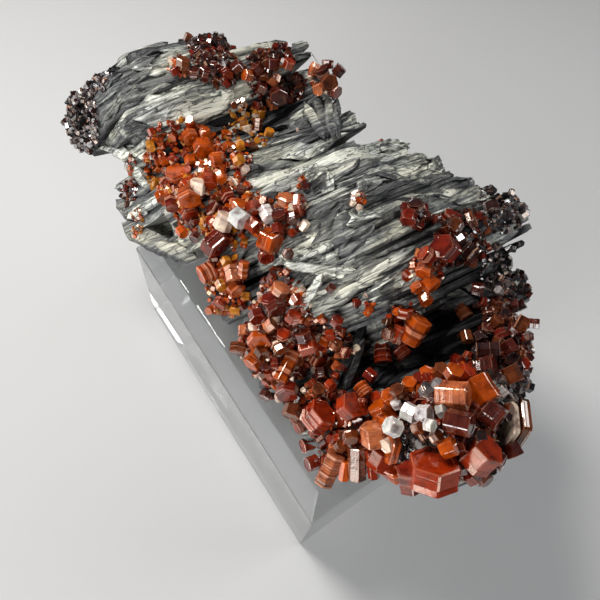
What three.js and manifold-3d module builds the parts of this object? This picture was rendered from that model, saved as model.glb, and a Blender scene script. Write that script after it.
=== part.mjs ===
// Vanadinite crystals on a barite matrix, resting on a clear display block.
// Units are millimetres. The origin is the centre of the block's underside,
// +X runs along the block's long side and +Z is up.
import * as THREE from 'three';
import { ConvexGeometry } from 'three/addons/geometries/ConvexGeometry.js';
import { mergeVertices } from 'three/addons/utils/BufferGeometryUtils.js';
import Module from 'manifold-3d';

const wasm = await Module();
wasm.setup();

// The display block
const BLOCK_LENGTH = 90;
const BLOCK_WIDTH = 64;
const BLOCK_HEIGHT = 41;
const BLOCK_BEVEL = 4.5;

// The clearance between pieces, and the height at which the specimen rests
const GAP = 0.3;
const SEAT = BLOCK_HEIGHT + GAP;

// The matrix is built up of lumps: centre x, y, z and half sizes along x, y, z
const LUMPS = [
  [-61, -6, 65, 18, 23, 17],
  [-65, 10, 68, 12, 10, 11],
  [-69, -25, 60, 10, 11, 11],
  [-46, -22, 53, 15, 11, 12],
  [-22, -4, 57, 26, 20, 16],
  [-16, -18, 50, 28, 13, 11],
  [-43, 22, 71, 12, 12, 12],
  [-12, 20, 65, 16, 17, 18],
  [5, 9, 62, 24, 26, 22],
  [17, 29, 64, 18, 18, 18],
  [12, -20, 49, 18, 12, 11],
  [30, -16, 53, 16, 12, 12],
  [39, 14, 62, 12, 13, 13],
  [49, -7, 69, 9, 10, 10.5],
];

// Barite plates stand on edge across the specimen, stacked along its length.
// A plate's length runs along PLATE_RUN and its depth along PLATE_RISE.
const PLATE_RUN = new THREE.Vector3(0.196, 0.94, 0.281).normalize();
const PLATE_RISE = new THREE.Vector3(0.383, -0.337, 0.861).normalize();
const PLATE_PITCH = 4.5;
const PLATE_OVERLAP = 0.5;
const PLATE_SIDES = 9;
const PLATE_STEP = 3;
const PLATE_FAN = 6;
const PLATE_LEAN = 4;
const PLATE_ROUGHNESS = 1.2;
const PLATE_SEED = 13;

// The line that the plates are threaded on: x, y, z from the far end to the near one
const SPINE = [
  [-76, -20, 60],
  [-60, -8, 62],
  [-30, 0, 58],
  [2, 6, 60],
  [30, 0, 56],
  [48, -8, 66],
  [57, -8, 69],
];

// Loose barite blades that stand or lie on the plates: centre x, y, z, length and
// width, then the blade's length as a turn from +X and a tilt up, and its roll, in degrees.
const BLADE_THICKNESS = 1;
const BLADES = [
  [-33, 21, 70, 16, 3.2, 150, 40, 50],
  [-34, 24, 70, 16, 2.8, 145, 50, 70],
  [-31, 24, 68, 15, 2.6, 140, 55, 60],
  [7.5, -9.5, 77.5, 16, 2.6, 50, 2, 10],
  [4.5, -10, 77.5, 14, 2.2, 65, 9, -20],
  [11, -14, 69, 10, 2.4, 119, 29, 20],
  [-6, 3, 82, 8, 2, 154, 30, 10],
  [-4, -17, 62, 14, 2.2, 143, 31, 50],
  [-2, -16, 62, 13, 2, 138, 33, 60],
  [24, -13, 63, 13, 2.4, 131, 30, 50],
];

// Vanadinite crystals, group by group. Each row is one hexagonal prism: its centre
// x, y, z, its radius and height, then its axis as a turn from +X and a tilt up, in degrees.
const FAR_TOP = [
  [-55, -6, 82, 1.9, 2.4, 110, 70],
  [-52.5, 4, 81, 1.7, 2.2, -170, 60],
  [-49.5, 6, 80.5, 1.7, 2.4, 70, 40],
];
const BACK_CRUST = [
  [-41.5, 13, 74.5, 2.6, 2.6, -20, 10],
  [-45.5, 14, 76.5, 2.1, 2.4, -120, 40],
];
const KNOB = [
  [-34.5, 23.5, 79.5, 2.2, 2.2, -20, 30],
  [-40.5, 26, 77.5, 1.8, 2.4, -150, 60],
  [-40, 31, 76.5, 1.8, 2.4, 80, 50],
  [-33, 24.5, 77.5, 1.8, 2.2, 10, 10],
];
const LEFT = [
  [-37.5, -11, 71.5, 2.7, 3, -20, 0],
  [-27.5, -20.5, 69.5, 3, 3, -20, 0],
  [-27.5, -18, 71.5, 1.9, 3.2, 130, 60],
  [-43.5, -11.5, 70.5, 2.2, 2.2, -10, 0],
  [-38.5, -18.5, 66, 2.7, 2.2, -150, 80],
  [-27.5, -15, 72, 1.9, 3.4, -30, -10],
  [-31.5, -10.5, 73, 1.9, 2.8, 170, 60],
];
const BELT = [
  [-14, -21, 67.5, 3.9, 3.6, 10, -10],
  [-15.5, -18, 71.5, 2.2, 3.8, 110, 50],
  [-22, -17, 68.5, 2.1, 2.4, -130, 40],
  [-22, -13, 70, 1.9, 2.4, -10, 10],
  [-13, -15.5, 74, 2.4, 3.2, 10, 0],
  [-10.5, -13.5, 73, 1.8, 2.6, 10, 0],
  [-13.5, -11.5, 74.5, 2, 2.2, 70, 40],
  [-26.5, -21, 64.5, 2.4, 2, -20, 0],
  [-24.5, -21, 63, 1.9, 2, -30, 20],
  [-15.5, -14, 74.5, 1.8, 2, 90, 70],
];
const ROSETTE = [
  [-3.5, -13.5, 75, 3, 3.6, 20, 10],
  [-2, -15.5, 73, 1.9, 2, -20, 10],
  [-10.5, -10, 74.5, 1.8, 3.4, -10, 0],
  [-5, -5.5, 80.5, 2.7, 1.6, 50, 20],
  [-10.5, -5, 76, 2.2, 2.2, 130, 70],
  [-6.5, -9.5, 78, 1.7, 1.8, -140, 70],
];
const LOWER_LEFT = [
  [-11.5, -25.5, 62, 2.5, 3.4, -90, 0],
  [-5.5, -22, 66.5, 1.8, 3.6, -20, -10],
  [-3, -22.5, 64, 2.2, 2, 0, 0],
  [-4.5, -26, 58.5, 1.8, 2, -60, 0],
];
const MIDDLE = [
  [6, -17, 71.5, 2.1, 1.8, 100, 60],
  [5.5, -19, 68.5, 2.1, 1.8, -150, 60],
  [9, -20, 71, 2.5, 1.8, -10, 0],
  [6.5, -23, 66.5, 1.9, 2.2, -20, 10],
  [16.5, -18, 69, 1.9, 2.2, -180, 50],
  [10.5, -25, 63.5, 2.8, 2, -30, 20],
  [7.5, -28.5, 58.5, 2, 2.2, -40, -10],
  [12.5, -27.5, 60, 2, 2.8, -70, 0],
  [18.5, -18, 67, 1.9, 3.2, 60, 30],
  [22, -25, 59, 2.6, 2.6, -40, 20],
  [25.5, -26, 56.5, 2.1, 2.6, -50, 0],
];
const BOTTOM = [
  [30.5, -23, 60.5, 3.5, 4.2, 90, 50],
  [33.5, -18, 66, 3, 2.8, 70, 60],
  [40, -26.5, 58, 2.2, 7.2, 120, 40],
  [42.5, -22.5, 62.5, 2, 6.8, 150, 40],
  [36.5, -28, 54, 1.7, 2.6, -100, 10],
  [31, -24.5, 45, 1.8, 2.8, -100, 10],
  [38.5, -22, 67, 1.5, 1.8, -30, 20],
  [32, -14, 67, 1.6, 2.6, 0, 0],
  [34.5, -23.5, 55.5, 1.7, 2.2, -10, 10],
];
const RIDGE = [
  [28.5, 1.5, 71, 2.7, 5.6, 110, 50],
  [27, -1.5, 70, 1.7, 3.8, 120, 40],
  [24.5, 1, 73.5, 2, 2, 140, 60],
  [25, 6, 74.5, 1.6, 2, -10, 10],
  [26.5, -3.5, 62.5, 2, 4.4, -30, -10],
  [29, 0, 63, 2, 2.4, 0, 0],
  [21.5, 10.5, 85, 2.9, 3.2, -120, 40],
  [20.5, 7, 84, 1.8, 2.6, -140, 30],
  [22, 6, 81.5, 1.8, 2.2, -60, 0],
  [24.5, 6, 80, 1.8, 2.4, 0, 0],
];
const UPPER_RIGHT = [
  [12, 9, 85.5, 1.8, 2.4, -50, -10],
  [10.5, 12, 85.5, 1.8, 2, 180, 70],
  [18, 16.5, 84, 1.8, 2.8, -70, -10],
  [18.5, 21, 84, 2.1, 1.4, 60, 40],
  [22.5, 19, 79, 1.9, 2.8, 10, 0],
];
const RIGHT = [
  [30, 15, 68.5, 1.7, 3.2, -10, 0],
  [34, 24.5, 68.5, 1.8, 4.4, 50, 20],
  [40, 20, 74, 1.8, 2.6, 20, 10],
  [40.5, 9, 75, 1.6, 4.4, 50, 20],
  [42.5, 13.5, 74.5, 1.6, 2.6, -10, 0],
  [47, 8.5, 76, 1.9, 3.2, -10, -10],
  [39, 15.5, 72, 1.6, 2.2, -10, 0],
  [44.5, 13, 72.5, 1.6, 2.4, 30, 10],
  [40, 18.5, 72.5, 1.7, 1.8, 100, 60],
];
const CREST = [
  [44.5, -5.5, 80, 2.7, 4, 60, 30],
  [46, 0.5, 78, 2.4, 2.8, 10, 10],
  [49, -8.5, 81.5, 2.6, 2.8, 50, 30],
  [52.5, 10, 65, 4.5, 1.8, 50, 20],
  [56, 3.5, 68.5, 2.7, 2, 40, 10],
  [52, -3.5, 80, 2.1, 2.2, 20, 10],
  [55, -8, 77.5, 2.9, 3.2, 60, 30],
  [54, -16, 74.5, 3.8, 3.2, -30, -10],
  [51.5, -18, 73, 2.5, 2.4, -40, -20],
  [41, -18, 71, 3.2, 1.6, -110, 10],
  [46, -18.5, 66, 2.9, 2.2, -90, 10],
  [37.5, -14, 68, 1.6, 2, -160, 50],
  [41, -3, 79, 1.5, 1.6, 90, 70],
  [43.5, 6.5, 74, 2.1, 2.4, 80, 50],
  [50.5, -13, 79, 1.7, 1.6, 80, 70],
  [38, -11.5, 75, 1.7, 1.6, 180, 70],
  [42.5, 0, 76.5, 1.5, 1.8, 90, 70],
  [56, -10, 74, 2.1, 2.4, 0, 0],
  [49.5, -18, 64.5, 1.9, 2.2, -50, -10],
];
const CRYSTAL_GROUPS = {
  crest: CREST,
  bottom: BOTTOM,
  belt: BELT,
  middle: MIDDLE,
  ridge: RIDGE,
  right: RIGHT,
  knob: KNOB,
  back_crust: BACK_CRUST,
  far_top: FAR_TOP,
  left: LEFT,
  rosette: ROSETTE,
  lower_left: LOWER_LEFT,
  upper_right: UPPER_RIGHT,
};

// Crystal bodies and shared volumes below this many cubic millimetres are left out
const CRUMB = 12;

// Steps smaller than this are smoothed away
const SMOOTHING = 0.05;

// A repeatable source of numbers from 0 to 1
function seeded(seed) {
  const modulus = 2147483647;
  let state = seed;
  return () => {
    state = (state * 16807) % modulus;
    return state / modulus;
  };
}

// A closed geometry as a solid for joining and cutting
function toSolid(geometry, matrix = new THREE.Matrix4()) {
  const bare = geometry.clone().applyMatrix4(matrix);
  bare.deleteAttribute('normal');
  bare.deleteAttribute('uv');
  const merged = mergeVertices(bare, 1e-4);
  const vertProperties = new Float32Array(merged.attributes.position.array);
  const triVerts = new Uint32Array(merged.index.array);
  return new wasm.Manifold(new wasm.Mesh({ numProp: 3, vertProperties, triVerts }));
}

function toGeometry(solid) {
  const mesh = solid.getMesh();
  const geometry = new THREE.BufferGeometry();
  geometry.setAttribute('position', new THREE.BufferAttribute(mesh.vertProperties, 3));
  geometry.setIndex(new THREE.BufferAttribute(mesh.triVerts, 1));
  geometry.computeVertexNormals();
  return geometry;
}

function joined(solids) {
  return solids.reduce((whole, solid) => whole.add(solid));
}

// The main body of a solid, without crumbs that a cut left loose
function mainBody(solid) {
  const bodies = solid.decompose();
  return bodies.reduce((best, body) => (body.volume() > best.volume() ? body : best));
}

// A unit direction from a turn about +Z and a tilt up, in degrees
function direction(turn, tilt) {
  const yaw = THREE.MathUtils.degToRad(turn);
  const pitch = THREE.MathUtils.degToRad(tilt);
  const level = Math.cos(pitch);
  return new THREE.Vector3(level * Math.cos(yaw), level * Math.sin(yaw), Math.sin(pitch));
}

// How far a ray from a point inside reaches before it leaves the last lump
function reach(origin, heading) {
  let far = 0;
  for (const [x, y, z, rx, ry, rz] of LUMPS) {
    const size = new THREE.Vector3(rx, ry, rz);
    const from = origin.clone().sub(new THREE.Vector3(x, y, z)).divide(size);
    const way = heading.clone().divide(size);
    const a = way.dot(way);
    const b = from.dot(way);
    const c = from.dot(from) - 1;
    const root = b * b - a * c;
    if (root > 0) {
      far = Math.max(far, (Math.sqrt(root) - b) / a);
    }
  }
  return far;
}

function displayBlock() {
  const rim = BLOCK_HEIGHT - BLOCK_BEVEL;
  const corners = [];
  for (const [z, inset] of [[0, 0], [rim, 0], [BLOCK_HEIGHT, BLOCK_BEVEL]]) {
    for (const sx of [-1, 1]) {
      for (const sy of [-1, 1]) {
        const x = sx * (BLOCK_LENGTH / 2 - inset);
        const y = sy * (BLOCK_WIDTH / 2 - inset);
        corners.push(new THREE.Vector3(x, y, z));
      }
    }
  }
  return new ConvexGeometry(corners);
}

// One barite plate: a rough outline in the plate's own plane, given some thickness
function plate(centre, fan, lean, step, random, grow) {
  const run = PLATE_RUN.clone().applyAxisAngle(PLATE_RISE, fan);
  const rise = PLATE_RISE.clone().applyAxisAngle(run, lean);
  const across = run.clone().cross(rise);
  const outline = [];
  for (let side = 0; side < PLATE_SIDES; side += 1) {
    const angle = (2 * Math.PI * (side + 0.5 * random())) / PLATE_SIDES;
    const way = run.clone().multiplyScalar(Math.cos(angle));
    way.addScaledVector(rise, Math.sin(angle));
    const rough = PLATE_ROUGHNESS * (2 * random() - 1);
    const radius = Math.max(2, reach(centre, way) + step + rough) + grow;
    outline.push(new THREE.Vector2(radius * Math.cos(angle), radius * Math.sin(angle)));
  }
  const thickness = PLATE_PITCH + PLATE_OVERLAP + 2 * grow;
  const geometry = new THREE.ExtrudeGeometry(new THREE.Shape(outline), {
    depth: thickness,
    bevelEnabled: false,
  });
  geometry.translate(0, 0, -thickness / 2);
  const matrix = new THREE.Matrix4().makeBasis(run, rise, across).setPosition(centre);
  return toSolid(geometry, matrix);
}

function plates(grow) {
  const random = seeded(PLATE_SEED);
  const spine = new THREE.CatmullRomCurve3(SPINE.map((point) => new THREE.Vector3(...point)));
  const count = Math.round(spine.getLength() / PLATE_PITCH);
  const made = [];
  for (let index = 0; index <= count; index += 1) {
    const centre = spine.getPointAt(index / count);
    const fan = THREE.MathUtils.degToRad(PLATE_FAN * (2 * random() - 1));
    const lean = THREE.MathUtils.degToRad(PLATE_LEAN * (2 * random() - 1));
    const step = PLATE_STEP * (random() - 0.7);
    made.push(plate(centre, fan, lean, step, random, grow));
  }
  return made;
}

// One blade: a long flat crystal with pointed ends
function blade([x, y, z, length, width, turn, tilt, roll], grow) {
  const long = length / 2 + grow;
  const wide = width / 2 + grow;
  const shoulder = long - 1.2 * wide;
  const outline = [
    new THREE.Vector2(long, 0.3 * wide),
    new THREE.Vector2(shoulder, wide),
    new THREE.Vector2(-shoulder, wide),
    new THREE.Vector2(-long, -0.3 * wide),
    new THREE.Vector2(-shoulder, -wide),
    new THREE.Vector2(shoulder, -wide),
  ];
  const thickness = BLADE_THICKNESS + 2 * grow;
  const geometry = new THREE.ExtrudeGeometry(new THREE.Shape(outline), {
    depth: thickness,
    bevelEnabled: false,
  });
  geometry.translate(0, 0, -thickness / 2);
  const along = direction(turn, tilt);
  const side = PLATE_RISE.clone().cross(along).normalize();
  side.applyAxisAngle(along, THREE.MathUtils.degToRad(roll));
  const face = along.clone().cross(side);
  return toSolid(geometry, new THREE.Matrix4().makeBasis(along, side, face).setPosition(x, y, z));
}

// Everything below the seat is cut away, so the specimen rests flat on the block
function belowSeat() {
  const side = 300;
  const geometry = new THREE.BoxGeometry(side, side, side);
  geometry.translate(0, 0, SEAT - side / 2);
  return toSolid(geometry);
}

function matrixSolid(grow) {
  const blades = BLADES.map((row) => blade(row, grow));
  const whole = joined([...plates(grow), ...blades]).subtract(belowSeat());
  return mainBody(whole).simplify(SMOOTHING);
}

// One hexagonal prism of vanadinite
function crystal([x, y, z, radius, height, turn, tilt]) {
  const axis = direction(turn, tilt);
  const turned = new THREE.Quaternion().setFromUnitVectors(new THREE.Vector3(0, 1, 0), axis);
  const centre = new THREE.Vector3(x, y, z);
  const matrix = new THREE.Matrix4().compose(centre, turned, new THREE.Vector3(1, 1, 1));
  return toSolid(new THREE.CylinderGeometry(radius, radius, height, 6), matrix);
}

// The crust of small crystals that a group stands on, through its crystals' middles
function crust(rows) {
  const middles = rows.map(([x, y, z]) => new THREE.Vector3(x, y, z));
  return toSolid(new ConvexGeometry(middles));
}

// Crystals that overlap are one piece. Each piece takes the name of the group
// whose leading crystal it holds, and the others are numbered.
function crystalPieces() {
  const groups = Object.entries(CRYSTAL_GROUPS);
  const leads = groups.map(([name, rows]) => [name, crystal(rows[0])]);
  const all = joined(groups.flatMap(([, rows]) => [crust(rows), ...rows.map(crystal)]));
  const bodies = all.subtract(matrixSolid(GAP)).simplify(SMOOTHING).decompose();
  const pieces = [];
  let spare = 0;
  for (const body of bodies.filter((each) => each.volume() > CRUMB)) {
    const held = leads.filter(([, lead]) => body.intersect(lead).volume() > CRUMB);
    if (held.length === 0) {
      spare += 1;
    }
    pieces.push([held.length > 0 ? held[0][0] : `cluster_${spare}`, body]);
  }
  return pieces;
}

function named(name, geometry, color, roughness) {
  const material = new THREE.MeshStandardMaterial({ color, roughness, metalness: 0 });
  const mesh = new THREE.Mesh(geometry, material);
  mesh.name = name;
  return mesh;
}

const specimen = new THREE.Group();
specimen.add(named('display_block', displayBlock(), 0xe8eef0, 0.05));
specimen.add(named('barite_matrix', toGeometry(matrixSolid(0)), 0x9a9c98, 0.7));
for (const [name, body] of crystalPieces()) {
  specimen.add(named(`vanadinite_${name}`, toGeometry(body), 0xa8340c, 0.15));
}

export default specimen;
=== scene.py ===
# Looks for the vanadinite on barite specimen and its clear display block.
# Lengths are in millimetres, and are scaled to metres where a mesh, a light or the
# camera is made.
import math

import bpy
import numpy as np
from mathutils import Matrix, Vector
from mathutils.bvhtree import BVHTree


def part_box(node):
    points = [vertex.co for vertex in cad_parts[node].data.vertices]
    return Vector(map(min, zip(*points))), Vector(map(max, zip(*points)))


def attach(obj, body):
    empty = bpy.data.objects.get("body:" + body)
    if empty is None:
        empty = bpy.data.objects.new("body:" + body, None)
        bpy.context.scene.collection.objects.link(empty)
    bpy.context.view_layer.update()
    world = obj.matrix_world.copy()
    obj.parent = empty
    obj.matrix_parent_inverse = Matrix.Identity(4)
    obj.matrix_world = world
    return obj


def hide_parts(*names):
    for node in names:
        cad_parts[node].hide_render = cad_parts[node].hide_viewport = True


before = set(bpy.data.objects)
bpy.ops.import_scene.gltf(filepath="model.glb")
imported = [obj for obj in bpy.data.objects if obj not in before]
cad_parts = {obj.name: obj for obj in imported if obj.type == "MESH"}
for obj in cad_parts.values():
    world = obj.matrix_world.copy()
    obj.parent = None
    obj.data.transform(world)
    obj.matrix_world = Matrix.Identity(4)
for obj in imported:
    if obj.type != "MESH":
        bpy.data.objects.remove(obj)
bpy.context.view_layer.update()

MM = 0.001

# The display block
BLOCK_LENGTH = 90
BLOCK_WIDTH = 64
BLOCK_HEIGHT = 41
BLOCK_BEVEL = 4.5
BLOCK_EDGE = 0.35
SEAT = BLOCK_HEIGHT + 0.3

# Barite plates stand on edge across the specimen. Their length runs along
# PLATE_RUN and their depth along PLATE_RISE.
PLATE_RUN = Vector((0.196, 0.94, 0.281)).normalized()
PLATE_RISE = Vector((0.383, -0.337, 0.861)).normalized()
PLATE_ACROSS = PLATE_RUN.cross(PLATE_RISE)

# The line that the middles of the thin leaves follow through the matrix
SPINE = [
    (-76, -20, 60),
    (-60, -8, 62),
    (-30, 0, 58),
    (2, 6, 60),
    (30, 0, 56),
    (48, -8, 66),
    (57, -8, 69),
]
LEAF_COUNT = 124
LEAF_SIDES = 168

# How far a leaf's edge is cut back where a run of leaves ends, and within a run, how
# far each leaf reaches into the next, and the painted shade that darkens the cut edges
LEAF_BEVEL = 0.5
LEAF_SEAM = 0.06
LEAF_OVERLAP = 0.25
SEAM_PAINTED_SHADE = 0.35

# How far a rim falls back between its segments, and how high a loose leaf may lie
LEAF_DROP = 0.6
LEAF_LIFT = 0.6
LOOSE_LEAVES = 230

# Some leaves are nearly white, and the dark zones take nearly all of the tone away, as dark barite
# and as painted shade
PALE_SHARE = 0.12
PALE_TONE = 0.95
DARKENING = 0.96

# Large barite leaves that show on the surface: centre x, y, z, length, width and
# thickness, the turn and tilt of its length, its roll in degrees, and its tone from 0 to 1
LEAVES = [
    (-48.5, -10, 75.5, 27, 8, 1.2, 75, 2, 20, 0.97),
    (-50, -16, 70.5, 24, 6, 1.2, 65, 6, 18, 0.62),
    (-54, -18, 71.5, 16, 4, 1, 55, 14, 18, 0.8),
    (-65.5, -12, 80, 15, 3.5, 1, 88, 8, 18, 0.88),
    (-57, -27.5, 61.5, 15, 3.5, 1, 25, 25, 18, 0.9),
    (-50.5, -23, 65, 10, 3.5, 1, 15, 15, -2, 0.93),
    (-46.5, -25.5, 60.5, 7, 3.5, 1, 15, -50, 8, 0.93),
    (-42, -29, 55.5, 8, 3, 1, 15, 15, 8, 0.75),
    (-26.5, -24, 56, 9, 2.4, 1, 25, -40, 8, 0.7),
    (-22.5, 11.5, 75.5, 18, 5, 1.2, 80, 10, 28, 0.92),
    (-8.5, 17.5, 79, 17, 3.6, 1.1, 85, -12, 18, 0.85),
    (-13, 29, 75.5, 11, 4.5, 1.5, 95, -5, 18, 0.7),
    (-1, 17.5, 80.5, 20, 3.2, 1, 98, -15, 13, 0.66),
    (1, 23.5, 80, 12, 3.2, 1, 80, -5, 13, 0.72),
    (12, 30, 79, 12, 3, 1, 85, -10, 8, 0.6),
    (4.5, -0.5, 82, 13, 4, 1, 75, 22, 18, 0.8),
    (5.5, -5.5, 79.5, 15, 3, 1, 92, -3, 18, 0.7),
    (5.5, 1, 83.5, 10, 2.4, 0.9, 70, 10, 18, 0.78),
    (20.5, 4, 77.5, 8, 3, 1, 70, 15, 18, 0.82),
    (-57.5, -5, 80, 19, 4.5, 1.2, 93, -5, 18, 0.72),
    (-48, -3.5, 78, 14, 3.6, 1, 80, 0, 18, 0.68),
    (9.5, -9, 76.8, 20, 3, 1.4, 50, 2, 10, 0.95),
    (5.7, -10.7, 76.7, 15, 2.6, 1.2, 65, 9, -20, 0.9),
    (-6, 3, 82, 8, 2, 1.2, 154, 30, 10, 0.94),
]

# Blades that stand free of the surface, in the same terms
BLADES = [
    (12, -13.9, 75.2, 12, 2.2, 1.4, 101, 62, 0, 0.95),
    (-36.5, -29.5, 49.5, 16.5, 6.8, 3.5, 32, -10, 0, 0.5),
    (-45, -30, 51, 11, 5.4, 3, 21, -15, 0, 0.42),
    (-24.5, -27, 56, 11.5, 4.4, 3, 39, -6, 0, 0.5),
    (-39.5, -24.5, 47.5, 13.5, 7, 4, 30, -11, 0, 0.4),
    (-4, -17, 62, 14, 2.2, 1, 143, 31, 8, 0.1),
    (-2, -16, 62, 13, 2, 1, 138, 33, 18, 0.14),
    (24, -13, 63, 13, 2.4, 1, 131, 30, 8, 0.16),
    (26, -11, 64, 12, 2.2, 1, 125, 32, 18, 0.2),
    (23, -9, 66, 14, 2.2, 1, 120, 20, -2, 0.12),
    (-30.5, 19, 74.5, 18, 3.2, 1, 155, -5, 8, 0.38),
    (-27.8, 19.7, 75.3, 15, 2.8, 1, 150, 0, 18, 0.5),
    (-27, 21.4, 75, 15, 2.6, 1, 145, 0, 28, 0.34),
    (-29.7, 16.2, 74.5, 15, 2.8, 1, 165, -5, 8, 0.55),
    (-25, 19.5, 75, 8, 2.4, 1, 150, 25, -2, 0.5),
]
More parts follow.
